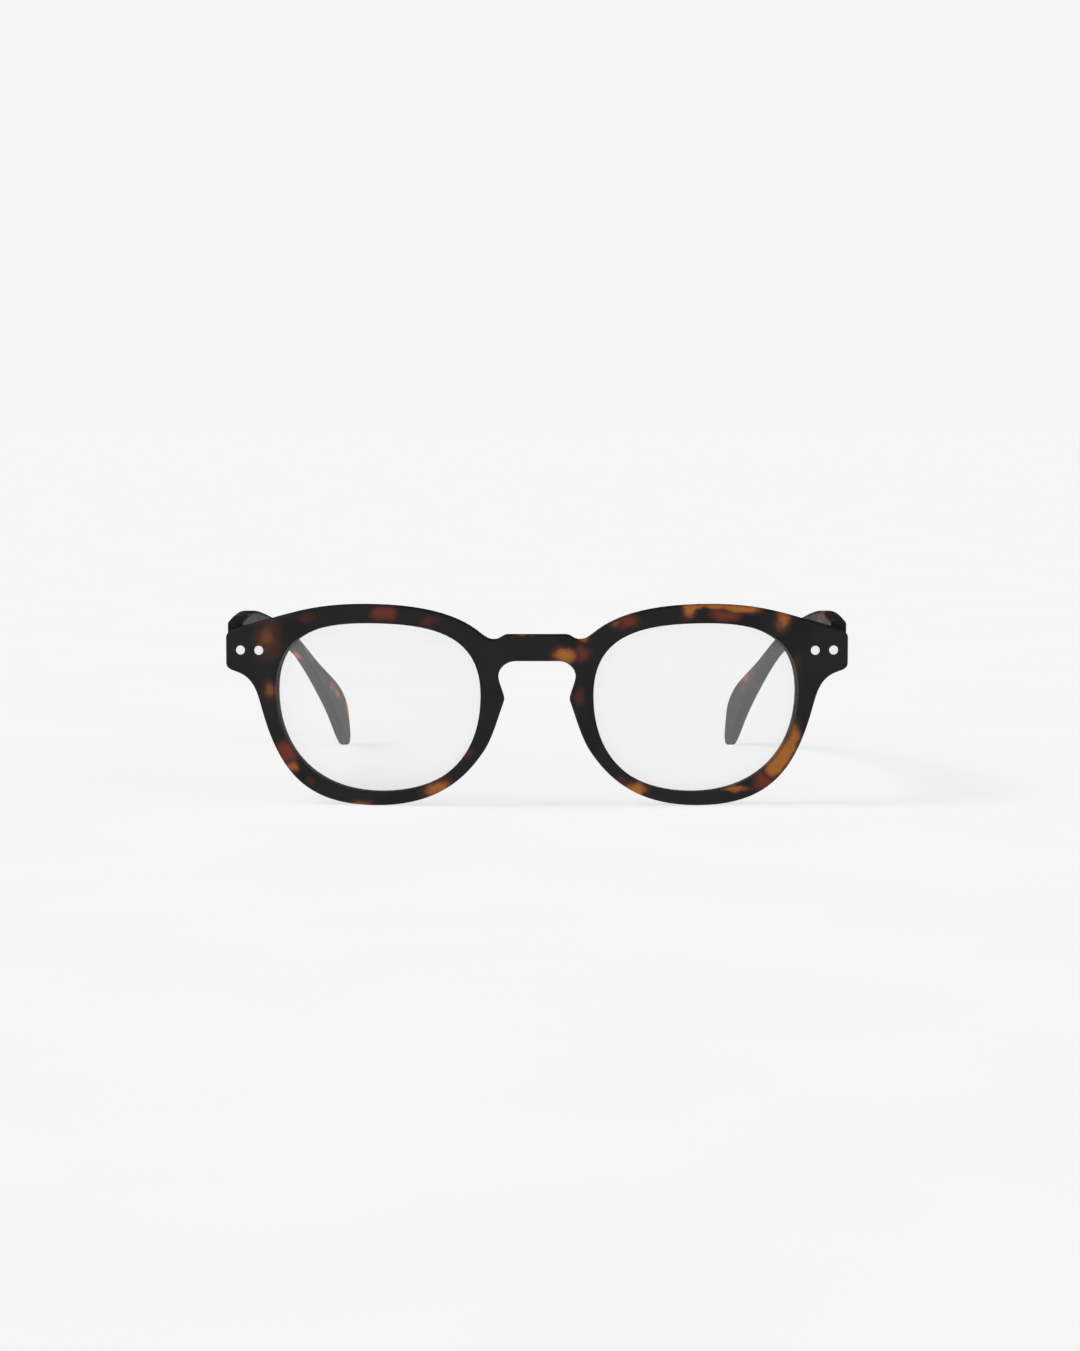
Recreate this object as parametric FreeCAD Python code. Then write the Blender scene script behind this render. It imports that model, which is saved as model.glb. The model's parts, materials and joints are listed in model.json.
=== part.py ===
import FreeCAD
import Part

import math
import os

from FreeCAD import Placement, Rotation, Vector

# Folding reading glasses, standing open. +X is the wearer's left, +Y runs back along the temples
# and +Z is up. While the pieces are made, Z = 0 is the table and Y = 0 is the front face of the
# bridge; write_parts then centres the whole pair on the origin in X and Y.

# ---- driving sizes, in millimetres and degrees ------------------------------------------------

FRONT_WIDTH = 138.2  # across the end pieces
FRONT_THICK = 4.0  # wall of the bowed front
FRONT_BOW = 260.0  # radius of the front's outer face, seen from above

EYE_WIDTH = 45.9  # lens opening, in the plane of the lens
EYE_HEIGHT = 37.4
NOSE_SPAN = 25.1  # between the two lens openings
RIM_TOP = 4.1
RIM_BOTTOM = 2.9
RIM_TEMPLE = 3.2  # rim beside the opening, below the end piece
EYE_WIDEST = 0.59  # share of the eye height at which the opening is widest

BRIDGE_HEIGHT = 5.8
BRIDGE_DROP = 6.5  # bridge top below the brow
BRIDGE_FLAT = 12.4  # straight top of the bridge
NOTCH_DEPTH = 1.1  # dip between the bridge and each brow
NOTCH_OUT = 3.3  # dip beyond the flat of the bridge
PAD_SPAN = 14.5  # between the two nose points, the narrowest place
KEY_SPAN = 17.0  # widest place of the keyhole
KEY_ROUND = 3.9  # corner of the keyhole

END_DROP = 6.3  # end piece's top corner below the brow
END_HEIGHT = 9.0
END_IN = 9.3  # how far the deep part of the end piece reaches in
END_DEPTH = 4.65  # end piece's back face behind the bowed face's outer corner
END_CORNER = 1.3
END_BLEND = 1.6  # rounding of the end piece's inner back edge

EDGE_ROUND = 0.5  # outer edges of the front

LENS_THICK = 2.2  # at its middle
LENS_FRONT_RADIUS = 125.0
LENS_BACK_RADIUS = 150.0
LENS_SET_BACK = 0.1  # lens front at its middle, behind the front's face
GROOVE_DEPTH = 0.6  # lens edge inside the rim
GROOVE_GAP = 0.03

PAD_BACK = 4.6  # pad behind the middle of the front
PAD_HALF_HEIGHT = 5.8
PAD_HALF_WIDTH = 1.9
PAD_LEAN = 19.0  # along the nose side of the rim
PAD_INSIDE = 3.7  # pad's middle, from the nose point towards the lens
PAD_BELOW = 5.4  # pad's middle below the nose point

RIVET_RADIUS = 1.0
RIVET_PITCH = 4.15
RIVET_FROM_SIDE = 3.3
RIVET_ABOVE = 0.4  # rivets above the end piece's middle

KNUCKLE_RADIUS = 1.4
KNUCKLE_STACK = 5.4  # all three knuckles
MIDDLE_KNUCKLE = 2.2
KNUCKLE_GAP = 0.06  # between neighbouring knuckles
HINGE_CLEARANCE = 0.15  # knuckles behind the end piece's back face
LEAF_THICK = 1.0
LEAF_MARGIN = 0.5  # leaf beyond the outline of rivets and knuckles
SCREW_RADIUS = 0.55
SCREW_HEAD_RADIUS = 0.95
SCREW_HEAD = 0.6
RUNNING_GAP = 0.03  # radial, screw or shank in its hole
SLOT_WIDTH = 0.3
SLOT_DEPTH = 0.3

SLIDER_BLOCK = 3.4  # guided block behind the middle knuckle
SLIDER_WIDE = 2.1
SHANK_RADIUS = 0.6
SHANK_LENGTH = 7.6  # behind the case's shoulder
NUT_RADIUS = 1.05
NUT_LENGTH = 1.2
GUIDE_GAP = 0.08
SHOULDER = 0.8
BLOCK_BACK_ROOM = 0.1
CASE_WALL = 0.4
CASE_HEIGHT = 4.0
CASE_END = 0.8
CASE_MOUTH = 0.35  # case behind the knuckles
CASE_ROOM = 1.3  # free bore behind the nut
CASE_LET_IN = 0.6  # case and its tongue into the temple
TONGUE_LENGTH = 5.6
TONGUE_HEIGHT = 3.0
CASE_RIVET_RADIUS = 0.75
CASE_RIVET_PITCH = 2.6
CASE_RIVET_DEPTH = 2.0
BORE_RADIUS = 1.15
SPRING_WIRE = 0.15  # wire radius
SPRING_RADIUS = 0.85  # to the middle of the wire
SPRING_TURNS = 9
SPRING_END_GAP = 0.05

TEMPLE_THICK = 3.4  # at the hinge
TIP_THICK = 2.8
TEMPLE_LENGTH = 126.0  # from the end piece to the back of the tip, along Y
TEMPLE_TALL = 10.4  # at the hinge
TEMPLE_ABOVE = 2.1  # temple's top above the end piece's top corner
TEMPLE_GAP = 0.1  # temple behind the end piece
TEMPLE_STRAIGHT = 14.0  # before the inward sweep begins
TEMPLE_SWEEP = 330.0  # radius of the inward sweep
SWEEP_LEAN = 35.0  # the sweep's axis leans back, square to the ear piece
TEMPLE_ROUND = 0.8
EAR_RUN = 31.0  # waist to the back of the tip, along Y
PADDLE_RISE = 9.0  # paddle's back above the table

# ---- places worked out from those sizes -------------------------------------------------------

half_width = FRONT_WIDTH / 2
eye_low = RIM_BOTTOM
eye_high = eye_low + EYE_HEIGHT
eye_mid = eye_low + EYE_WIDEST * EYE_HEIGHT
brow = eye_high + RIM_TOP
eye_turn = math.asin((NOSE_SPAN + EYE_WIDTH) / 2 / FRONT_BOW)
eye_x = NOSE_SPAN / 2 + EYE_WIDTH / 2 * math.cos(eye_turn)
eye_out = NOSE_SPAN / 2 + EYE_WIDTH * math.cos(eye_turn)
end_top = brow - END_DROP
end_low = end_top - END_HEIGHT
bow_back = FRONT_BOW - math.sqrt(FRONT_BOW**2 - half_width**2)
butt = bow_back + END_DEPTH
hinge_z = end_top - END_HEIGHT / 2 + RIVET_ABOVE
rivet_outer_x = half_width - RIVET_FROM_SIDE
rivet_inner_x = rivet_outer_x - RIVET_PITCH
temple_in = half_width - TEMPLE_THICK
axis_x = temple_in - 0.1 - KNUCKLE_RADIUS
axis_y = butt + HINGE_CLEARANCE + KNUCKLE_RADIUS
case_front = axis_y + KNUCKLE_RADIUS + CASE_MOUTH
block_back = axis_y + KNUCKLE_RADIUS + SLIDER_BLOCK
shoulder_front = block_back + BLOCK_BACK_ROOM
shoulder_back = shoulder_front + SHOULDER
shank_back = shoulder_back + SHANK_LENGTH
case_back = shank_back + CASE_ROOM + CASE_END
tongue_back = case_back + TONGUE_LENGTH
TEMPLE_SEAMS = (0.25, 0.45, 0.65, 0.8, 0.92)  # shares of the length where its faces are divided
OUTLINE_STEPS = 12  # points along each edge of an outline that is moved outwards
EACH_SIDE = {"left": 1, "right": -1}


# ---- small builders ---------------------------------------------------------------------------


def flat(x, z):
    """A point of an outline that is drawn in the XZ plane."""
    return Vector(x, 0, z)


def curve(start, start_handle, end_handle, end):
    """One Bezier edge; the handles are offsets from the two ends."""
    bezier = Part.BezierCurve()
    bezier.setPoles([start, start + start_handle, end + end_handle, end])
    return bezier.toShape()


def line(start, end):
    return Part.makeLine(start, end)


def box(x0, x1, y0, y1, z0, z1):
    low = Vector(min(x0, x1), min(y0, y1), min(z0, z1))
    return Part.makeBox(abs(x1 - x0), abs(y1 - y0), abs(z1 - z0), low)


def rod(radius, start, end):
    way = end - start
    return Part.makeCylinder(radius, way.Length, start, way)


def mirrored(shape):
    return shape.mirror(Vector(0, 0, 0), Vector(1, 0, 0))


def on_side(shape, side):
    """The piece is modelled on the wearer's left; the right one is its mirror image."""
    return shape if side > 0 else mirrored(shape)


def one_solid(shape):
    clean = shape.removeSplitter()
    return max(clean.Solids, key=lambda solid: solid.Volume)


def seamed(shape, along, places):
    """The same solid, its long faces divided by seams at these places along one axis."""
    far = 2 * (FRONT_WIDTH + TEMPLE_LENGTH)
    ends = [-far, *sorted(places), far]
    spans = []
    for low, high in zip(ends, ends[1:]):
        span = Part.makeBox(2 * far, 2 * far, 2 * far, Vector(-far, -far, -far))
        keep = Part.makeBox(2 * far, 2 * far, 2 * far, Vector(-far, -far, -far) + along * (low + far))
        stop = Part.makeBox(2 * far, 2 * far, 2 * far, Vector(-far, -far, -far) + along * (high + far))
        spans.append(shape.common(span.common(keep).cut(stop)))
    return spans[0].multiFuse(spans[1:]).Solids[0]


# ---- the front --------------------------------------------------------------------------------


def half_outline():
    """Edges of the front's outline for X > 0, from the bridge top round and back up the middle."""
    flat_end = flat(BRIDGE_FLAT / 2, brow - BRIDGE_DROP)
    notch = flat(BRIDGE_FLAT / 2 + NOTCH_OUT, brow - BRIDGE_DROP - NOTCH_DEPTH)
    brow_foot = flat(NOSE_SPAN / 2 + 0.95, brow - 5.42)
    crown = flat(eye_x + 2.2, brow)
    end_slope = Vector(-0.965, 0, 0.261)
    top_corner = flat(half_width, end_top)
    top_before = top_corner + end_slope * END_CORNER
    side_top = flat(half_width, end_top - END_CORNER)
    side_low = flat(half_width, end_low + 2.0)
    flare_start = flat(half_width - 2.1, end_low + 0.1)
    rim_side = flat(eye_out + RIM_TEMPLE, eye_mid - 3.5)
    bottom = flat(eye_x + 0.7, 0)
    nose_low = flat(NOSE_SPAN / 2 - 0.85, eye_low + 9.3)
    nose_point = flat(PAD_SPAN / 2, eye_mid - 0.4)
    key_side = flat(KEY_SPAN / 2, brow - BRIDGE_DROP - BRIDGE_HEIGHT - KEY_ROUND + 0.4)
    key_top = flat(KEY_SPAN / 2 - KEY_ROUND, brow - BRIDGE_DROP - BRIDGE_HEIGHT)
    middle_top = flat(0, brow - BRIDGE_DROP)
    middle_low = flat(0, key_top.z)
    foot_way = Vector(0.812, 0, 0.584)
    flare_way = Vector(-0.261, 0, -0.965)
    nose_way = Vector(-0.33, 0, 0.944)
    crown_reach = crown.x - brow_foot.x
    end_reach = half_width - crown.x
    fall = rim_side.z
    return [
        line(middle_top, flat_end),
        curve(flat_end, flat(1.5, 0), flat(-1.6, 0), notch),
        curve(notch, flat(1.5, 0), foot_way * -2.12, brow_foot),
        curve(brow_foot, foot_way * (0.3 * crown_reach), flat(-0.385 * crown_reach, 0), crown),
        curve(crown, flat(0.42 * end_reach, 0), end_slope * (0.4 * end_reach), top_before),
        curve(top_before, end_slope * -0.55, flat(0, 0.55), side_top),
        line(side_top, side_low),
        curve(side_low, flat(0, -1.2), Vector(1.15, 0, 0.344), flare_start),
        curve(flare_start, Vector(-3.89, 0, -1.165), flare_way * -3.85, rim_side),
        curve(rim_side, flare_way * (0.703 * fall), flat(0.6 * (rim_side.x - bottom.x), 0), bottom),
        curve(bottom, flat(-0.5 * (bottom.x - nose_low.x), 0), Vector(5.0, 0, -7.6), nose_low),
        curve(nose_low, Vector(-2.0, 0, 3.04), nose_way * -4.0, nose_point + flat(0, -1.2)),
        curve(nose_point + flat(0, -1.2), nose_way * 0.9, flat(0, -1.5), key_side),
        curve(key_side, flat(0, 0.55 * KEY_ROUND), flat(0.5 * KEY_ROUND, 0), key_top),
        line(key_top, middle_low),
        line(middle_low, middle_top),
    ]


def half_prism():
    face = Part.Face(Part.Wire(half_outline()))
    return face.extrude(Vector(0, 3 * butt, 0))


def moved_out(edge, grow):
    """A copy of one clockwise edge of an XZ outline, moved sideways out of the outline."""
    span = edge.LastParameter - edge.FirstParameter
    places = [edge.FirstParameter + span * step / OUTLINE_STEPS for step in range(OUTLINE_STEPS + 1)]
    points = []
    for place in places:
        along = edge.tangentAt(place)
        points.append(edge.valueAt(place) + flat(-along.z, along.x) * grow)
    spline = Part.BSplineCurve()
    ends = {"InitialTangent": edge.tangentAt(places[0]), "FinalTangent": edge.tangentAt(places[-1])}
    spline.interpolate(Points=points, **ends)
    return spline.toShape()


def eye_outline(grow):
    """The lens opening in the lens plane, centred on its own middle; grow moves it outwards."""
    half = EYE_WIDTH / 2
    crown_u = 0.037 * EYE_WIDTH
    top = flat(crown_u, eye_high)
    out = flat(half, eye_mid)
    low = flat(0, eye_low)
    nose = flat(-half, eye_mid - 0.4)
    edges = [
        curve(top, flat(0.59 * (half - crown_u), 0), flat(0, 0.80 * (eye_high - out.z)), out),
        curve(out, flat(0, -0.595 * (out.z - eye_low)), flat(0.62 * half, 0), low),
        curve(low, flat(-0.66 * half, 0), flat(0, -0.614 * (nose.z - eye_low)), nose),
        curve(nose, flat(0, 0.86 * (eye_high - nose.z)), flat(-0.566 * (half + crown_u), 0), top),
    ]
    return Part.Wire([moved_out(edge, grow) for edge in edges] if grow else edges)


def lens_place():
    """Lens frame: local Y is the lens axis, zero at the front's outer face in the opening's middle."""
    y = FRONT_BOW - math.sqrt(FRONT_BOW**2 - eye_x**2)
    return Placement(Vector(eye_x, y, 0), Rotation(Vector(0, 0, 1), math.degrees(eye_turn)))


def placed(shape):
    copy = shape.copy()
    copy.Placement = lens_place().multiply(copy.Placement)
    return copy


def eye_prism(grow):
    face = Part.Face(eye_outline(grow))
    face.translate(Vector(0, -butt, 0))
    return face.extrude(Vector(0, 3 * butt, 0))


def lens_shape(grow_edge, grow_face):
    """Meniscus lens: the opening's outline between two spheres that both bulge forwards."""
    middle_z = (eye_low + eye_high) / 2
    front_y = LENS_SET_BACK - grow_face
    back_y = LENS_SET_BACK + LENS_THICK + grow_face
    front_ball = Part.makeSphere(LENS_FRONT_RADIUS, Vector(0, front_y + LENS_FRONT_RADIUS, middle_z))
    back_ball = Part.makeSphere(LENS_BACK_RADIUS, Vector(0, back_y + LENS_BACK_RADIUS, middle_z))
    blank = eye_prism(GROOVE_DEPTH + grow_edge)
    near = box(-EYE_WIDTH, EYE_WIDTH, -butt, butt, -EYE_HEIGHT, 2 * EYE_HEIGHT)
    return placed(one_solid(blank.common(near).common(front_ball).cut(back_ball)))


def bow_cylinder(radius):
    return Part.makeCylinder(radius, 3 * brow, Vector(0, FRONT_BOW, -brow), Vector(0, 0, 1))


def round_rim_edges(shape, radius, wanted):
    edges = [edge for edge in shape.Edges if wanted(edge)]
    return shape.makeFillet(radius, edges)


def runs_along_a_face(edge):
    """True for the outline's edges on the front or back face; false through the wall or at X = 0."""
    first = edge.valueAt(edge.FirstParameter)
    last = edge.valueAt(edge.LastParameter)
    middle = edge.valueAt((edge.FirstParameter + edge.LastParameter) / 2)
    depths = [math.hypot(p.x, p.y - FRONT_BOW) for p in (first, middle, last)]
    return max(depths) - min(depths) < 0.05 and middle.x > 0.01


def nose_pad():
    """A smooth pad that swells out of the back of the rim's nose side and doesn't show in front."""
    ball = Part.makeSphere(1.0)
    stretch = FreeCAD.Matrix()
    stretch.scale(PAD_HALF_WIDTH, FRONT_THICK / 2 + PAD_BACK, PAD_HALF_HEIGHT)
    pad = ball.transformGeometry(stretch)
    pad.rotate(Vector(0, 0, 0), Vector(0, 1, 0), -PAD_LEAN)
    pad.translate(Vector(PAD_SPAN / 2 + PAD_INSIDE, FRONT_THICK, eye_mid - PAD_BELOW))
    front = box(0, half_width, -butt, FRONT_THICK / 2, 0, brow)
    return pad.cut(front)


def end_block():
    """The deep part of the end piece, which the temple closes against."""
    block = box(half_width - END_IN, half_width + END_IN, 0, butt, end_low - 1, brow)
    inner = half_width - END_IN + 0.01
    back = [edge for edge in block.Edges if edge.BoundBox.XMax < inner and edge.BoundBox.YMin > butt - 0.01]
    return block.makeFillet(END_BLEND, back)


def leaf_outline(grow):
    """X and Z limits of the hinge leaf let into the end piece's back face."""
    x0 = rivet_inner_x - RIVET_RADIUS - LEAF_MARGIN - grow
    x1 = rivet_outer_x + RIVET_RADIUS + LEAF_MARGIN + grow
    half = KNUCKLE_STACK / 2 + grow
    return x0, x1, hinge_z - half, hinge_z + half


def half_front():
    """The half of the front for X > 0; a seam at X = 0 joins it to its mirror image."""
    prism = half_prism()
    half = prism.common(bow_cylinder(FRONT_BOW)).cut(bow_cylinder(FRONT_BOW - FRONT_THICK))
    half = round_rim_edges(one_solid(half), EDGE_ROUND, runs_along_a_face)
    half = half.fuse(nose_pad()).cut(placed(eye_prism(0)))
    half = half.fuse(end_block().common(prism).common(bow_cylinder(FRONT_BOW - FRONT_THICK / 2)))
    half = half.cut(lens_shape(GROOVE_GAP, GROOVE_GAP))
    x0, x1, z0, z1 = leaf_outline(0)
    half = half.cut(box(x0, x1, butt - LEAF_THICK, 2 * butt, z0, z1))
    for x in (rivet_inner_x, rivet_outer_x):
        half = half.cut(rod(RIVET_RADIUS, Vector(x, -1, hinge_z), Vector(x, 2 * butt, hinge_z)))
    return seamed(one_solid(half), Vector(1, 0, 0), [eye_x])


def front_frame():
    half = half_front()
    return half.fuse(mirrored(half)).Solids[0]


def rivet(x):
    pin = rod(RIVET_RADIUS, Vector(x, -1, hinge_z), Vector(x, butt, hinge_z))
    return pin.common(bow_cylinder(FRONT_BOW))


def front_leaf():
    x0, x1, z0, z1 = leaf_outline(0)
    leaf = box(x0, x1, butt - LEAF_THICK, butt, z0, z1)
    barrel = rod(KNUCKLE_RADIUS, Vector(axis_x, axis_y, z0), Vector(axis_x, axis_y, z1))
    web = box(axis_x - KNUCKLE_RADIUS, axis_x + KNUCKLE_RADIUS, butt - LEAF_THICK, axis_y, z0, z1)
    space = MIDDLE_KNUCKLE / 2 + KNUCKLE_GAP
    reach = KNUCKLE_RADIUS + CASE_MOUTH / 2
    gap = box(axis_x - reach, axis_x + reach, butt, axis_y + reach, hinge_z - space, hinge_z + space)
    leaf = leaf.fuse(barrel).fuse(web).cut(gap)
    below, above = Vector(axis_x, axis_y, z0 - 1), Vector(axis_x, axis_y, z1 + 1)
    leaf = leaf.cut(rod(SCREW_RADIUS + RUNNING_GAP, below, above))
    sink = Vector(axis_x, axis_y, z1 - SCREW_HEAD - RUNNING_GAP)
    leaf = leaf.cut(rod(SCREW_HEAD_RADIUS + RUNNING_GAP, sink, above))
    for x in (rivet_inner_x, rivet_outer_x):
        hole = rod(RIVET_RADIUS, Vector(x, 0, hinge_z), Vector(x, butt, hinge_z))
        leaf = leaf.cut(hole)
    return one_solid(leaf)


# ---- the sprung hinge -------------------------------------------------------------------------


def hinge_screw():
    z0, z1 = leaf_outline(0)[2:]
    shank = rod(SCREW_RADIUS, Vector(axis_x, axis_y, z0), Vector(axis_x, axis_y, z1))
    head = rod(SCREW_HEAD_RADIUS, Vector(axis_x, axis_y, z1 - SCREW_HEAD), Vector(axis_x, axis_y, z1))
    half = SLOT_WIDTH / 2
    slot = box(axis_x - 2, axis_x + 2, axis_y - half, axis_y + half, z1 - SLOT_DEPTH, z1 + 1)
    return shank.fuse(head).cut(slot)


def hinge_slider():
    half = MIDDLE_KNUCKLE / 2
    wide = SLIDER_WIDE / 2
    axis_low = Vector(axis_x, axis_y, hinge_z - half)
    axis_top = Vector(axis_x, axis_y, hinge_z + half)
    body = rod(KNUCKLE_RADIUS, axis_low, axis_top)
    block = box(axis_x - wide, axis_x + wide, axis_y, block_back, hinge_z - half, hinge_z + half)
    shank = rod(SHANK_RADIUS, Vector(axis_x, block_back - 1, hinge_z), Vector(axis_x, shank_back, hinge_z))
    bore = rod(SCREW_RADIUS + RUNNING_GAP, axis_low - Vector(0, 0, 1), axis_top + Vector(0, 0, 1))
    return one_solid(body.fuse(block).fuse(shank).cut(bore))


def spring_nut():
    front = Vector(axis_x, shank_back - NUT_LENGTH, hinge_z)
    back = Vector(axis_x, shank_back, hinge_z)
    return rod(NUT_RADIUS, front, back).cut(rod(SHANK_RADIUS, front, back))


def spring():
    start = shoulder_back + SPRING_END_GAP + SPRING_WIRE
    end = shank_back - NUT_LENGTH - SPRING_END_GAP - SPRING_WIRE
    pitch = (end - start) / SPRING_TURNS
    helix = Part.makeHelix(pitch, end - start, SPRING_RADIUS)
    begin = Vector(SPRING_RADIUS, 0, 0)
    rise = Vector(0, 2 * math.pi * SPRING_RADIUS, pitch)
    section = Part.Wire(Part.makeCircle(SPRING_WIRE, begin, rise))
    coil = Part.Wire(helix).makePipeShell([section], True, True)
    coil.rotate(Vector(0, 0, 0), Vector(1, 0, 0), -90)
    coil.translate(Vector(axis_x, start, hinge_z))
    return coil


def case_limits():
    """X limits of the case: flush with the knuckles inside, let into the temple outside."""
    return axis_x - KNUCKLE_RADIUS, temple_in + CASE_LET_IN


def tongue_rivet_places():
    middle = case_back + TONGUE_LENGTH / 2
    return [middle - CASE_RIVET_PITCH / 2, middle + CASE_RIVET_PITCH / 2]


def spring_case():
    x0, x1 = case_limits()
    half = CASE_HEIGHT / 2
    tongue = TONGUE_HEIGHT / 2
    case = box(x0, x1, case_front, case_back, hinge_z - half, hinge_z + half)
    case = case.makeFillet(CASE_WALL / 2, [edge for edge in case.Edges if edge.BoundBox.XMax < x0 + 0.01])
    case = case.fuse(box(temple_in, x1, case_back - 1, tongue_back, hinge_z - tongue, hinge_z + tongue))
    guide = MIDDLE_KNUCKLE / 2 + GUIDE_GAP
    wide = SLIDER_WIDE / 2 + GUIDE_GAP
    case = case.cut(
        box(axis_x - wide, axis_x + wide, case_front - 1, shoulder_front, hinge_z - guide, hinge_z + guide)
    )
    shoulder = Vector(axis_x, shoulder_front - 1, hinge_z)
    case = case.cut(rod(SHANK_RADIUS + RUNNING_GAP, shoulder, Vector(axis_x, shank_back, hinge_z)))
    bore_end = Vector(axis_x, case_back - CASE_END, hinge_z)
    case = case.cut(rod(BORE_RADIUS, Vector(axis_x, shoulder_back, hinge_z), bore_end))
    for y in tongue_rivet_places():
        hole = rod(CASE_RIVET_RADIUS, Vector(temple_in - 1, y, hinge_z), Vector(x1 + 1, y, hinge_z))
        case = case.cut(hole)
    return one_solid(case)


def case_rivets():
    x1 = temple_in + CASE_RIVET_DEPTH
    pins = []
    for y in tongue_rivet_places():
        pins.append(rod(CASE_RIVET_RADIUS, Vector(temple_in, y, hinge_z), Vector(x1, y, hinge_z)))
    return Part.makeCompound(pins)


# ---- the temple -------------------------------------------------------------------------------


def temple_profile():
    """Side view of the temple in YZ: level from the hinge, narrow waist, then the ear paddle."""
    start = butt + TEMPLE_GAP
    tip = butt + TEMPLE_LENGTH
    waist = tip - EAR_RUN
    straight = waist - start
    top = end_top + TEMPLE_ABOVE
    low = top - TEMPLE_TALL
    points = [
        (start, top),
        (start + 0.16 * straight, top + 0.6),
        (start + 0.36 * straight, top + 0.2),
        (start + 0.62 * straight, top - 2.6),
        (start + 0.83 * straight, top - 6.4),
        (waist + 1.0, top - 12.1),
        (waist + 13.0, PADDLE_RISE + 13.5),
        (tip - 7.0, PADDLE_RISE + 8.4),
        (tip - 1.9, PADDLE_RISE + 4.7),
        (tip, PADDLE_RISE + 0.7),
        (tip - 0.8, PADDLE_RISE - 3.2),
        (tip - 2.5, 1.4),
        (tip - 4.4, 0.0),
        (tip - 6.3, 1.6),
        (tip - 9.3, 6.9),
        (tip - 15.0, 13.7),
        (tip - 23.0, 20.4),
        (waist - 1.6, top - 14.4),
        (start + 0.80 * straight, low - 0.25),
        (start + 0.55 * straight, low + 0.75),
        (start + 0.25 * straight, low + 0.45),
        (start, low),
    ]
    spline = Part.BSplineCurve()
    spline.interpolate([Vector(0, y, z) for y, z in points])
    closing = line(Vector(0, start, low), Vector(0, start, top))
    return Part.Wire([spline.toShape(), closing])


def sweep_strip():
    """Plan of the temple: straight from the hinge, then sweeping in; a slab square to a leaning axis."""
    lean = math.radians(SWEEP_LEAN)
    reach = TEMPLE_LENGTH * math.cos(lean) + hinge_z * math.sin(lean) - TEMPLE_STRAIGHT
    drift = TEMPLE_SWEEP - math.sqrt(TEMPLE_SWEEP**2 - reach**2)
    inner_drift = drift - (TEMPLE_THICK - TIP_THICK)
    inner_sweep = (reach**2 + inner_drift**2) / (2 * inner_drift)
    far = 1.08 * reach

    def arc(x, radius):
        """Tangent arc that starts at the end of the straight part and drifts towards the head."""
        middle = far / 2
        to_middle = radius - math.sqrt(radius**2 - middle**2)
        to_far = radius - math.sqrt(radius**2 - far**2)
        start = Vector(x, TEMPLE_STRAIGHT, 0)
        through = Vector(x - to_middle, TEMPLE_STRAIGHT + middle, 0)
        end = Vector(x - to_far, TEMPLE_STRAIGHT + far, 0)
        return Part.Arc(start, through, end).toShape(), start, end

    before = -3 * KNUCKLE_STACK - brow
    outer, outer_start, outer_end = arc(half_width, TEMPLE_SWEEP)
    inner, inner_start, inner_end = arc(temple_in, inner_sweep)
    outer_first = Vector(half_width, before, 0)
    inner_first = Vector(temple_in, before, 0)
    edges = [
        line(outer_first, outer_start),
        outer,
        line(outer_end, inner_end),
        inner,
        line(inner_start, inner_first),
        line(inner_first, outer_first),
    ]
    strip = Part.Face(Part.Wire(Part.__sortEdges__(edges)))
    tall = 4 * brow
    slab = strip.extrude(Vector(0, 0, tall))
    slab.translate(Vector(0, 0, -tall / 2))
    slab.rotate(Vector(0, 0, 0), Vector(1, 0, 0), -SWEEP_LEAN)
    slab.translate(Vector(0, butt, hinge_z))
    return slab


def is_long_edge(edge):
    """The four edges along the temple, but not those round its front end."""
    return edge.BoundBox.YMax > butt + TEMPLE_GAP + 1


def temple():
    outline = Part.Face(temple_profile())
    outline.translate(Vector(temple_in - 40, 0, 0))
    blade = outline.extrude(Vector(60, 0, 0)).common(sweep_strip())
    blade = one_solid(blade)
    blade = blade.makeFillet(TEMPLE_ROUND, [edge for edge in blade.Edges if is_long_edge(edge)])
    half = CASE_HEIGHT / 2
    tongue = TONGUE_HEIGHT / 2
    x1 = case_limits()[1]
    blade = blade.cut(box(temple_in - 1, x1, case_front, case_back, hinge_z - half, hinge_z + half))
    blade = blade.cut(box(temple_in - 1, x1, case_back - 1, tongue_back, hinge_z - tongue, hinge_z + tongue))
    seams = [butt + share * TEMPLE_LENGTH for share in TEMPLE_SEAMS]
    return seamed(one_solid(blade.cut(case_rivets())), Vector(0, 1, 0), seams)


# ---- everything together ----------------------------------------------------------------------


def build_all():
    shapes = {"front_frame": front_frame()}
    lens = lens_shape(0, 0)
    pieces = {
        "lens": lens,
        "hinge_leaf": front_leaf(),
        "rivet_inner": rivet(rivet_inner_x),
        "rivet_outer": rivet(rivet_outer_x),
        "hinge_screw": hinge_screw(),
        "hinge_slider": hinge_slider(),
        "hinge_spring": spring(),
        "spring_nut": spring_nut(),
        "spring_case": spring_case(),
        "case_rivets": case_rivets(),
        "temple": temple(),
    }
    for name, shape in pieces.items():
        for side_name, side in EACH_SIDE.items():
            shapes[f"{name}_{side_name}"] = on_side(shape, side)
    return shapes


def write_parts(shapes):
    os.makedirs("parts", exist_ok=True)
    bounds = Part.makeCompound(list(shapes.values())).optimalBoundingBox(False, False)
    shift = Vector(0, -(bounds.YMin + bounds.YMax) / 2, -bounds.ZMin)
    for name, shape in shapes.items():
        moved = shape.copy()
        moved.translate(shift)
        moved.exportStep(f"parts/{name}.step")
        print(name, len(moved.Solids), moved.isValid(), round(moved.Volume, 2))
    print("size", round(bounds.XLength, 3), round(bounds.YLength, 3), round(bounds.ZLength, 3))
    print("shift", [round(value, 4) for value in shift])
    print("hinge axis", round(axis_x, 4), round(axis_y + shift.y, 4), "height", round(hinge_z, 4))


write_parts(build_all())
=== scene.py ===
import json
import math

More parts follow.
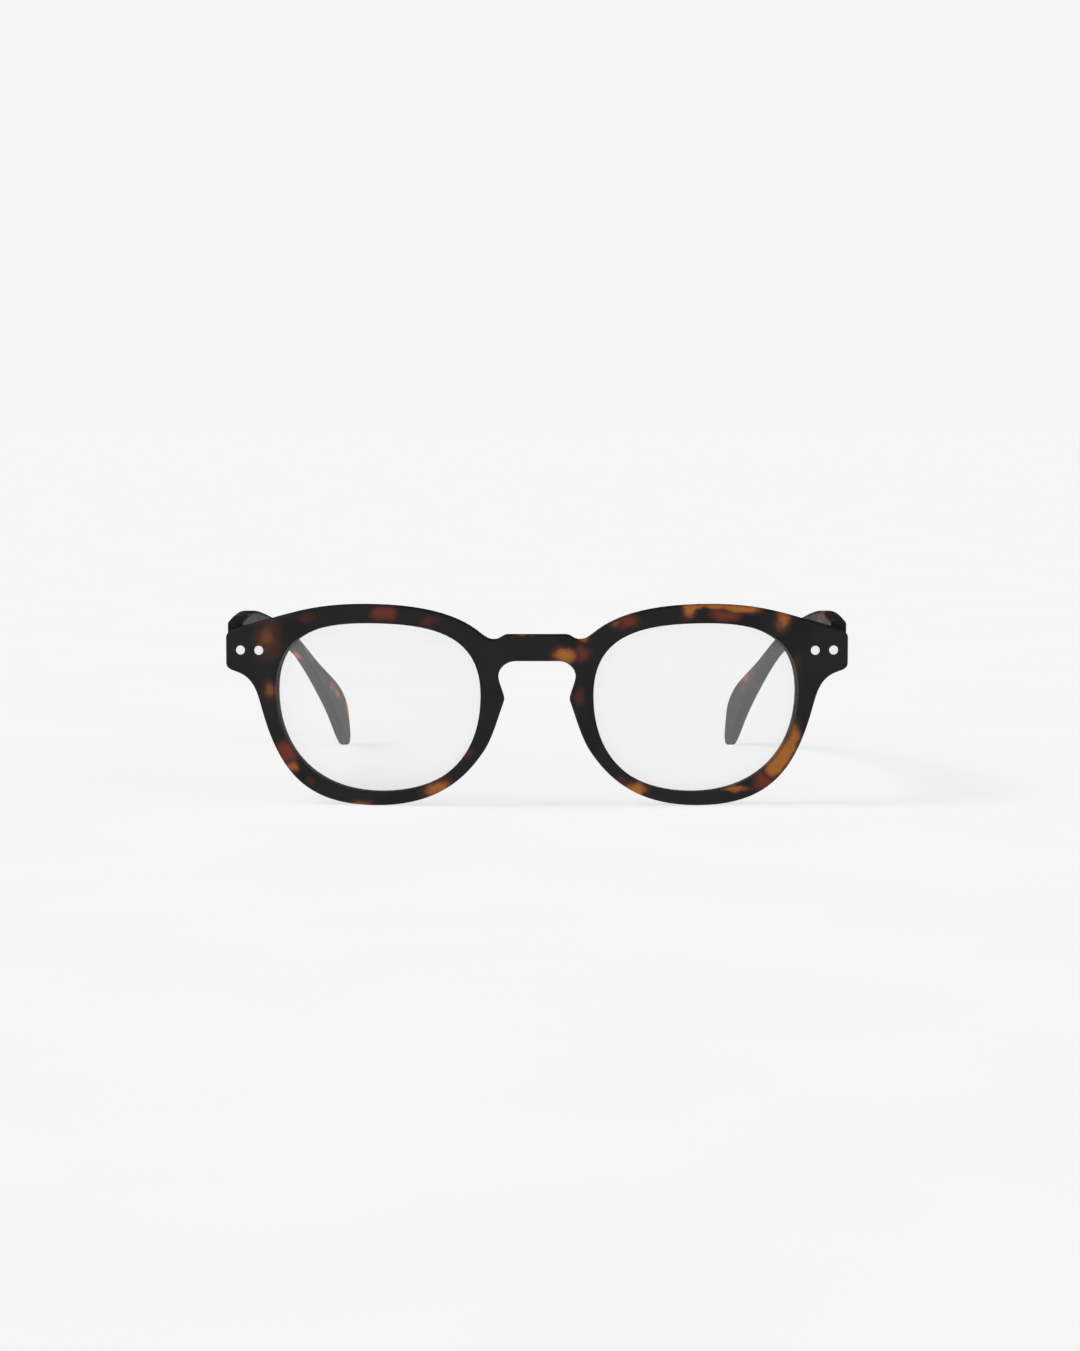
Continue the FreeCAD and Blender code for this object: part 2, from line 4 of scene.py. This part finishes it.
import bpy
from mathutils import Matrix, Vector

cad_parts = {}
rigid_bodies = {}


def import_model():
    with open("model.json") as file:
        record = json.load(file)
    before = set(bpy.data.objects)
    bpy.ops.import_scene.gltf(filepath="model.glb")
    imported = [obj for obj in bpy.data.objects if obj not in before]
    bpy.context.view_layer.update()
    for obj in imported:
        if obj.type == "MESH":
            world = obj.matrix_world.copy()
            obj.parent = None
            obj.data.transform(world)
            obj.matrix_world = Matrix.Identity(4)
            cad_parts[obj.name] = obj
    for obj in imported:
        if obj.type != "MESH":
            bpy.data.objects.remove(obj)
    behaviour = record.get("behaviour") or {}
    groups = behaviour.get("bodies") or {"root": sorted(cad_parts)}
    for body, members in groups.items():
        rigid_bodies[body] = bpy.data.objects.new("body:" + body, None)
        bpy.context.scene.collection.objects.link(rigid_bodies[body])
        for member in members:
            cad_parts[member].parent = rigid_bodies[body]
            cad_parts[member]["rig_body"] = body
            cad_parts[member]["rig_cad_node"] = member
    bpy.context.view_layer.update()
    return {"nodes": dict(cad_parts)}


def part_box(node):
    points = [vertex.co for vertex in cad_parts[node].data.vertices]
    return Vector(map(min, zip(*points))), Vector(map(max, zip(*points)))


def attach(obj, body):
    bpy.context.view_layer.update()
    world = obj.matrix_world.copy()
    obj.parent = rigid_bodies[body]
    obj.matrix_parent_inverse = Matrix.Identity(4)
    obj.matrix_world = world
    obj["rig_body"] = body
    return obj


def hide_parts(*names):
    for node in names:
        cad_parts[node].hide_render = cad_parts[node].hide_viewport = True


# Reading glasses in matt tortoiseshell, standing open on a white table. +X is the wearer's left,
# +Y runs back along the temples and +Z is up. A length in millimetres times MM is in metres.

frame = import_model()

MM = 0.001
SIDES = ("left", "right")

# ---- colours, as sRGB hex ---------------------------------------------------------------------

SHELL_BASE = "#191818"
SHELL_SMOKE = "#100f0f"
SHELL_BROWN = "#45271a"
SHELL_AMBER = "#a8642a"
SHELL_RED = "#6d2e20"
TABLE = "#f0f0f0"
STUDIO_WHITE = "#f5f5f5"
# white of the lens veil, a painted reflection of the studio
LENS_PAINTED_REFLECTION = "#fafafa"
# colour of the frosted lens edge, also the colour of its painted glow
LENS_EDGE_AND_PAINTED_GLOW = "#e6dccf"


def linear(colour):
    """An sRGB hex colour as linear RGBA."""
    channels = [int(colour[at:at + 2], 16) / 255 for at in (1, 3, 5)]
    bent = [c / 12.92 if c <= 0.04045 else ((c + 0.055) / 1.055) ** 2.4 for c in channels]
    return (*bent, 1.0)


# ---- materials --------------------------------------------------------------------------------


def add(tree, kind, inputs=None, **settings):
    """Adds a node, gives it its settings, and links or fills its sockets."""
    node = tree.nodes.new(kind)
    for name, value in settings.items():
        setattr(node, name, value)
    for name, value in (inputs or {}).items():
        if isinstance(value, bpy.types.NodeSocket):
            tree.links.new(value, node.inputs[name])
        else:
            node.inputs[name].default_value = value
    return node


def new_material(name):
    """An empty node tree with its output, ready for a surface."""
    material = bpy.data.materials.new(name)
    material.use_nodes = True
    material.node_tree.nodes.clear()
    return material, material.node_tree


def close(tree, surface):
    """Gives the material its surface."""
    add(tree, "ShaderNodeOutputMaterial", {"Surface": surface})


def in_millimetres(tree):
    """Object coordinates in millimetres."""
    place = add(tree, "ShaderNodeTexCoord").outputs["Object"]
    return add(tree, "ShaderNodeVectorMath", {0: place, "Scale": 1 / MM}, operation="SCALE").outputs[0]


def noise(tree, place, period, detail, output="Fac"):
    """Noise whose lumps are about one period across, in millimetres."""
    settings = {"Vector": place, "Scale": 1 / period, "Detail": detail}
    return add(tree, "ShaderNodeTexNoise", settings).outputs[output]


def ramp(tree, value, start, end, low=0.0, high=1.0):
    """Value turned smoothly from low to high between start and end."""
    limits = {"Value": value, "From Min": start, "From Max": end, "To Min": low, "To Max": high}
    return add(tree, "ShaderNodeMapRange", limits, interpolation_type="SMOOTHSTEP").outputs["Result"]


def math_of(tree, operation, first, second):
    """One sum, as a node."""
    return add(tree, "ShaderNodeMath", {0: first, 1: second}, operation=operation).outputs[0]


def vector_of(tree, operation, first, second):
    """One sum of two vectors, as a node."""
    return add(tree, "ShaderNodeVectorMath", {0: first, 1: second}, operation=operation).outputs[0]


def flow(tree, place, period, reach):
    """Coordinates pushed about by a slow noise, so that cast colours have soft, uneven edges."""
    lumps = noise(tree, place, period, 3.0, "Color")
    centred = vector_of(tree, "SUBTRACT", lumps, (0.5, 0.5, 0.5))
    push = add(tree, "ShaderNodeVectorMath", {0: centred, "Scale": 2 * reach}, operation="SCALE").outputs[0]
    return vector_of(tree, "ADD", place, push)


def blot(tree, place, centre, size, strength):
    """How much of one soft patch covers each place: strength in its middle, nothing outside."""
    scaled = vector_of(tree, "DIVIDE", vector_of(tree, "SUBTRACT", place, centre), size)
    far = add(tree, "ShaderNodeVectorMath", {0: scaled}, operation="LENGTH").outputs["Value"]
    return ramp(tree, far, PATCH_FULL, PATCH_GONE, strength, 0.0)


def mix(tree, share, first, second):
    """First blended with second by share, as colours."""
    node = add(tree, "ShaderNodeMix", {"Factor": share}, data_type="RGBA")
    for socket, value in (("A", first), ("B", second)):
        target = [s for s in node.inputs if s.name == socket and s.type == "RGBA"][0]
        if isinstance(value, bpy.types.NodeSocket):
            tree.links.new(value, target)
        else:
            target.default_value = value
    return [s for s in node.outputs if s.type == "RGBA"][0]


# How the acetate is cast: shares of a patch's size, and periods and reaches in millimetres.
PATCH_FULL = 0.1
PATCH_GONE = 1.45
EDGE_WAVE = 7.0
EDGE_WAVE_REACH = 1.5
EDGE_RAGGED = 2.6
EDGE_RAGGED_REACH = 0.8
CLOUD = 3.2  # a patch's own lighter and darker places
SMOKE = 9.0
STREWN = 9.0
STREWN_FROM = {"amber": 0.56, "red": 0.60}
STREWN_FADE = 0.14
STREWN_SHIFT = {"amber": (0.0, 0.0, 0.0), "red": (31.0, 17.0, 5.0)}
STREWN_SCALE = (1.0, 0.6, 1.0)  # longer along the temple
SKIN_GRAIN = 0.16
SKIN_DEPTH = 0.02 * MM


def strewn_patches(tree, drift, kind):
    """Random patches of one colour, for plastic that has no patches of its own named below."""
    settings = {"Vector": drift, "Location": STREWN_SHIFT[kind], "Scale": STREWN_SCALE}
    turned = add(tree, "ShaderNodeMapping", settings).outputs[0]
    start = STREWN_FROM[kind]
    return ramp(tree, noise(tree, turned, STREWN, 2.0), start, start + STREWN_FADE)


def tortoiseshell(name, patches, strewn):
    """Matt tortoiseshell acetate: a block of near-black plastic cast with amber and red smoke, cut
    and tumbled. Its patches are a few millimetres across, go right through, fade at their edges from
    amber to brown to black, and lie under a fine matt skin that shows almost no highlight."""
    material, tree = new_material(name)
    place = in_millimetres(tree)
    drift = flow(tree, flow(tree, place, EDGE_WAVE, EDGE_WAVE_REACH), EDGE_RAGGED, EDGE_RAGGED_REACH)
    cloud = ramp(tree, noise(tree, place, CLOUD, 2.0), 0.2, 0.6, 0.75, 1.1)
    fields = {}
    for kind in ("amber", "red"):
        field = strewn_patches(tree, drift, kind) if strewn else 0.0
        for tone, centre, size, strength in patches:
            if tone == kind:
                field = math_of(tree, "ADD", field, blot(tree, drift, centre, size, strength))
        fields[kind] = math_of(tree, "MULTIPLY", field, cloud)
    smoke = ramp(tree, noise(tree, place, SMOKE, 2.0), 0.4, 0.7)
    colour = mix(tree, smoke, linear(SHELL_BASE), linear(SHELL_SMOKE))
    colour = mix(tree, ramp(tree, fields["red"], 0.1, 1.1), colour, linear(SHELL_RED))
    colour = mix(tree, ramp(tree, fields["amber"], 0.05, 0.5), colour, linear(SHELL_BROWN))
    colour = mix(tree, ramp(tree, fields["amber"], 0.35, 0.95), colour, linear(SHELL_AMBER))
    grain = noise(tree, place, SKIN_GRAIN, 3.0)
    bump = add(tree, "ShaderNodeBump", {"Height": grain, "Strength": 0.08, "Distance": SKIN_DEPTH})
    skin = {
        "Base Color": colour,
        "Roughness": ramp(tree, grain, 0.2, 0.8, 0.46, 0.58),
        "Specular IOR Level": 0.2,
        "Normal": bump.outputs["Normal"],
    }
    close(tree, add(tree, "ShaderNodeBsdfPrincipled", skin).outputs["BSDF"])
    return material


EDGE_PAINTED_GLOW = 0.75  # painted glow: emission on the frosted flat of the lens edge, standing in for light from the table gathered by the lens and let out there
PAINTED_GLOW_FULL_BELOW = 20.0  # millimetres above the table
PAINTED_GLOW_LOW_ABOVE = 32.0


def lens_plastic():
    """Cast CR-39 lens with a hard coat: clear, with a thin pale veil that is painted reflection of the
    studio, a white colour shown more at grazing angles. The narrow flat round the back of its edge is
    frosted, and carries a painted glow that is brighter towards the table."""
    material, tree = new_material("CR-39 lens, hard coated")
    place = in_millimetres(tree)
    haze = noise(tree, place, 20.0, 2.0)
    # painted reflection: the white lens colour, shown more at grazing angles, stands in for the studio's
    # reflection in the lens
    facing = add(tree, "ShaderNodeLayerWeight", {"Blend": 0.15}).outputs["Facing"]
    painted_reflection = ramp(tree, facing, 0.0, 1.0, 0.08, 0.5)
    faces = add(tree, "ShaderNodeTexCoord").outputs["Normal"]
    along = add(tree, "ShaderNodeSeparateXYZ", {"Vector": faces}).outputs["Y"]
    past_edge = ramp(tree, along, 0.3, 0.4)
    ground = math_of(tree, "MULTIPLY", past_edge, ramp(tree, along, 0.84, 0.88, 1.0, 0.0))
    height = add(tree, "ShaderNodeSeparateXYZ", {"Vector": place}).outputs["Z"]
    # painted glow on the frosted edge flat, stronger near the table, standing in for light the lens gathers
    glow = ramp(tree, height, PAINTED_GLOW_FULL_BELOW, PAINTED_GLOW_LOW_ABOVE, EDGE_PAINTED_GLOW, 0.3 * EDGE_PAINTED_GLOW)
    skin = {
        "Base Color": mix(tree, ground, linear(LENS_PAINTED_REFLECTION), linear(LENS_EDGE_AND_PAINTED_GLOW)),
        "Emission Color": linear(LENS_EDGE_AND_PAINTED_GLOW),
        "Emission Strength": math_of(tree, "MULTIPLY", ground, glow),
        "Roughness": ramp(tree, haze, 0.3, 0.7, 0.03, 0.06),
        "IOR": 1.5,
        "Alpha": math_of(tree, "MAXIMUM", painted_reflection, ground),
    }
    close(tree, add(tree, "ShaderNodeBsdfPrincipled", skin).outputs["BSDF"])
    return material


def metal(name, colour, rough, streak):
    """Steel with a fine grain that runs along streak, in millimetres per cycle on each axis."""
    material, tree = new_material(name)
    place = in_millimetres(tree)
    stretched = vector_of(tree, "DIVIDE", place, streak)
    grain = noise(tree, stretched, 1.0, 3.0)
    skin = {
        "Base Color": linear(colour),
        "Metallic": 1.0,
        "Roughness": ramp(tree, grain, 0.2, 0.8, 0.75 * rough, 1.3 * rough),
    }
    close(tree, add(tree, "ShaderNodeBsdfPrincipled", skin).outputs["BSDF"])
    return material


def table_top():
    """White laminate, faintly mottled; partly self-lit, so that the table fades into the studio."""
    material, tree = new_material("white laminate table")
    mottle = ramp(tree, noise(tree, in_millimetres(tree), 60.0, 2.0), 0.3, 0.7)
    colour = mix(tree, mottle, linear(TABLE), linear(STUDIO_WHITE))
    matt = add(tree, "ShaderNodeBsdfDiffuse", {"Color": colour}).outputs["BSDF"]
    glow = add(tree, "ShaderNodeEmission", {"Color": linear(STUDIO_WHITE), "Strength": TABLE_GLOW}).outputs[0]
    both = add(tree, "ShaderNodeMixShader", {"Fac": TABLE_MATT, 1: glow, 2: matt})
    close(tree, both.outputs["Shader"])
    return material


TABLE_GLOW = 1.56
TABLE_MATT = 0.5  # the rest is its own light

# Patches, in millimetres: tone, place across and up, half width and half height, strength. They go
# right through the front, so they are long from front to back.
FRONT_PATCHES = [
    ("amber", -59.8, 36.5, 3.8, 6.0, 0.52),
    ("amber", -59.3, 25.4, 2.4, 2.8, 0.6),
    ("red", -55.6, 11.6, 2.4, 3.4, 1.1),
    ("amber", -54.6, 8.4, 1.8, 1.8, 0.75),
    ("red", -50.4, 5.0, 1.8, 1.6, 0.5),
    ("amber", -39.3, 0.6, 3.4, 1.0, 0.6),
    ("amber", -22.0, 3.6, 3.8, 2.6, 0.95),
    ("red", -33.9, 42.3, 3.2, 2.4, 1.0),
    ("red", -23.4, 40.7, 2.8, 1.8, 0.5),
    ("red", -50.9, 41.3, 3.0, 1.6, 0.45),
    ("red", -15.8, 12.3, 1.8, 2.6, 0.5),
    ("amber", 5.9, 33.6, 3.1, 2.4, 1.0),
    ("red", 9.6, 33.9, 2.6, 2.4, 0.8),
    ("amber", 10.4, 36.8, 1.9, 1.0, 0.8),
    ("amber", -2.6, 38.0, 3.0, 0.5, 0.7),
    ("red", 9.0, 24.5, 1.8, 2.8, 0.6),
    ("red", 19.2, 41.0, 3.8, 2.6, 1.0),
    ("amber", 17.6, 40.6, 1.8, 1.4, 0.6),
    ("amber", 33.4, 43.4, 2.0, 2.8, 0.85),
    ("amber", 38.5, 44.2, 5.0, 0.9, 0.9),
    ("red", 41.8, 42.2, 4.2, 2.4, 1.1),
    ("amber", 45.5, 43.4, 5.2, 1.5, 0.95),
    ("amber", 54.4, 40.6, 2.6, 3.0, 0.75),
    ("red", 57.6, 31.2, 1.6, 3.4, 0.4),
    ("amber", 57.4, 15.6, 1.9, 3.8, 0.8),
    ("amber", 55.0, 11.4, 2.4, 4.2, 1.0),
    ("amber", 52.6, 8.2, 2.6, 3.0, 1.0),
    ("red", 50.2, 5.4, 2.8, 2.2, 1.1),
    ("amber", 21.4, 3.9, 3.2, 2.4, 0.95),
    ("red", 19.0, 5.4, 2.0, 1.8, 0.5),
    ("amber", 43.5, 3.7, 5.0, 0.8, 0.7),
]
FRONT_DEPTH = 16.0

# Patches on the temples, and one painted highlight: tone, side, place along and up, half length and half
# height, strength.
TEMPLE_PATCHES_AND_GLINT = [
    ("red", "right", 44.0, 25.0, 4.0, 2.2, 0.8),
    ("amber", "right", 68.5, 9.5, 2.4, 5.0, 0.9),
    ("red", "right", 60.0, 17.0, 4.0, 2.4, 0.5),
    ("amber", "left", 58.5, 18.5, 4.2, 2.4, 0.9),
    ("red", "left", 54.0, 20.5, 4.0, 2.6, 0.9),
    ("red", "left", 67.5, 3.5, 2.6, 2.6, 0.9),
    # painted highlight: a red patch on the top of the left temple by the hinge, standing in for a glint
    ("red", "left", -28.0, 39.0, 6.0, 2.2, 0.9),
]
TEMPLE_WIDTH = 9.0


def front_patches():
    """The front's patches as tone, centre, half sizes and strength."""
    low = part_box("front_frame")[0] / MM
    patches = []
    for tone, x, z, wide, tall, strength in FRONT_PATCHES:
        patches.append((tone, (x, low.y + FRONT_DEPTH / 4, z), (wide, FRONT_DEPTH, tall), strength))
    return patches


def temple_patches_and_glint():
    """The temples' patches and painted highlight in the same form, wide enough to go right through."""
    patches = []
    for tone, side, y, z, long, tall, strength in TEMPLE_PATCHES_AND_GLINT:
        low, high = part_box(f"temple_{side}")
        x = (low.x + high.x) / 2 / MM
        patches.append((tone, (x, y, z), (2 * TEMPLE_WIDTH, long, tall), strength))
    return patches


LENS_BEVEL = 1.05 * MM  # the most; the outline's short edges hold it to a much narrower flat
LENS_WELD = 0.001 * MM
FLAT_WITHIN = 1.0  # degrees, for faces that are joined into one
SHARP_FROM = 50.0  # degrees, for edges that are bevelled
SMOOTH_BELOW = 25.0  # degrees


def build_lens(side, material):
    """The lens with the sharp corners of its edge broken to narrow flats."""
    node = frame["nodes"][f"lens_{side}"]
    bpy.ops.object.select_all(action="DESELECT")
    lens = node.copy()
    lens.data = node.data.copy()
    lens.parent = None
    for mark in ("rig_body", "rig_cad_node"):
        del lens[mark]
    lens.name = f"ground_lens_{side}"
    bpy.context.scene.collection.objects.link(lens)
    lens.select_set(True)
    bpy.context.view_layer.objects.active = lens
    bpy.ops.object.mode_set(mode="EDIT")
    bpy.ops.mesh.select_all(action="SELECT")
    bpy.ops.mesh.remove_doubles(threshold=LENS_WELD)
    bpy.ops.mesh.dissolve_limited(angle_limit=math.radians(FLAT_WITHIN))
    bpy.ops.object.mode_set(mode="OBJECT")
    bevel = lens.modifiers.new("ground edge", "BEVEL")
    bevel.width = LENS_BEVEL
    bevel.segments = 1
    bevel.limit_method = "ANGLE"
    bevel.angle_limit = math.radians(SHARP_FROM)
    bpy.ops.object.modifier_apply(modifier=bevel.name)
    bpy.ops.object.shade_smooth_by_angle(angle=math.radians(SMOOTH_BELOW))
    lens.data.materials.clear()
    lens.data.materials.append(material)
    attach(lens, "front")
    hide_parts(node.name)


def give(node, material):
    """Gives a CAD piece its one material."""
    piece = frame["nodes"][node]
    piece.data.materials.clear()
    piece.data.materials.append(material)


def dress_pieces():
    """Every piece in its real finish."""
    steel = metal("nickel-plated hinge steel, satin", "#b9b9bb", 0.30, (0.1, 2.0, 0.1))
    case = metal("nickel-plated spring case, satin", "#a9a9ac", 0.34, (0.1, 3.0, 0.1))
    turned = metal("turned steel screw", "#c4c4c6", 0.26, (0.3, 0.3, 0.05))
    wire = metal("drawn spring wire", "#9b9ba0", 0.30, (0.2, 0.2, 0.2))
    polished = metal("polished steel rivet", "#f4f4f4", 0.12, (0.05, 1.0, 0.05))
    lens = lens_plastic()
    front = tortoiseshell("matt tortoiseshell acetate, front", front_patches(), False)
    temple = tortoiseshell("matt tortoiseshell acetate, temple", temple_patches_and_glint(), True)
    give("front_frame", front)
    for side in SIDES:
        give(f"temple_{side}", temple)
        build_lens(side, lens)
        give(f"hinge_leaf_{side}", steel)
        give(f"hinge_slider_{side}", steel)
        give(f"spring_case_{side}", case)
        give(f"hinge_screw_{side}", turned)
        give(f"spring_nut_{side}", turned)
        give(f"hinge_spring_{side}", wire)
        give(f"rivet_inner_{side}", polished)
        give(f"rivet_outer_{side}", polished)
        give(f"case_rivets_{side}", polished)


# ---- table, lights and camera -----------------------------------------------------------------

TABLE_SIZE = 60.0


def build_table():
    bpy.ops.mesh.primitive_plane_add(size=TABLE_SIZE, location=(0, 0, 0))
    table = bpy.context.object
    table.name = "table"
    table.data.materials.append(table_top())


def build_lights():
    """A white room that is bright in front and at the sides and dim overhead, and one soft window."""
    world = bpy.data.worlds.new("studio")
    bpy.context.scene.world = world
    world.use_nodes = True
    tree = world.node_tree
    tree.nodes.clear()
    way = add(tree, "ShaderNodeSeparateXYZ", {"Vector": add(tree, "ShaderNodeTexCoord").outputs["Generated"]})
    ahead = ramp(tree, way.outputs["Y"], -0.5, 0.5, 1.0, ROOM_BEHIND)
    across = ramp(tree, math_of(tree, "ABSOLUTE", way.outputs["X"], 0.0), 0.1, 0.8, 0.8, 1.15)
    overhead = ramp(tree, way.outputs["Z"], 0.15, 0.9, 1.0, ROOM_OVERHEAD)
    power = math_of(tree, "MULTIPLY", math_of(tree, "MULTIPLY", ahead, across), overhead)
    lit = add(tree, "ShaderNodeBackground", {"Color": (1, 1, 1, 1), "Strength": power}).outputs[0]
    seen = add(tree, "ShaderNodeBackground", {"Color": linear(STUDIO_WHITE), "Strength": 1.0}).outputs[0]
    path = add(tree, "ShaderNodeLightPath").outputs["Is Camera Ray"]
    both = add(tree, "ShaderNodeMixShader", {"Fac": path, 1: lit, 2: seen}).outputs[0]
    add(tree, "ShaderNodeOutputWorld", {"Surface": both})
    light = bpy.data.lights.new("window", "SUN")
    light.energy = WINDOW_POWER
    light.angle = math.radians(WINDOW_WIDE)
    lamp = bpy.data.objects.new("window", light)
    lamp.rotation_euler = (math.radians(WINDOW_BACK), math.radians(-WINDOW_TILT), 0)
    bpy.context.scene.collection.objects.link(lamp)


ROOM_BEHIND = 0.14
ROOM_OVERHEAD = 0.25
WINDOW_POWER = 0.8
WINDOW_WIDE = 24.0  # degrees across
WINDOW_TILT = 40.0  # degrees from overhead, on the wearer's right
WINDOW_BACK = 2.0

CAMERA_PLACE = (0.66 * MM, -770.0 * MM, 84.7 * MM)
CAMERA_DOWN = 4.55
CAMERA_LENS = 85.3


def build_camera():
    camera = bpy.data.cameras.new("camera")
    camera.lens = CAMERA_LENS
    camera.sensor_width = 36.0
    camera.clip_end = 200.0
    eye = bpy.data.objects.new("camera", camera)
    eye.location = CAMERA_PLACE
    eye.rotation_euler = (math.radians(90 - CAMERA_DOWN), 0, 0)
    bpy.context.scene.collection.objects.link(eye)
    bpy.context.scene.camera = eye


bpy.context.scene.view_settings.view_transform = "Standard"
build_camera()
build_table()
build_lights()
dress_pieces()
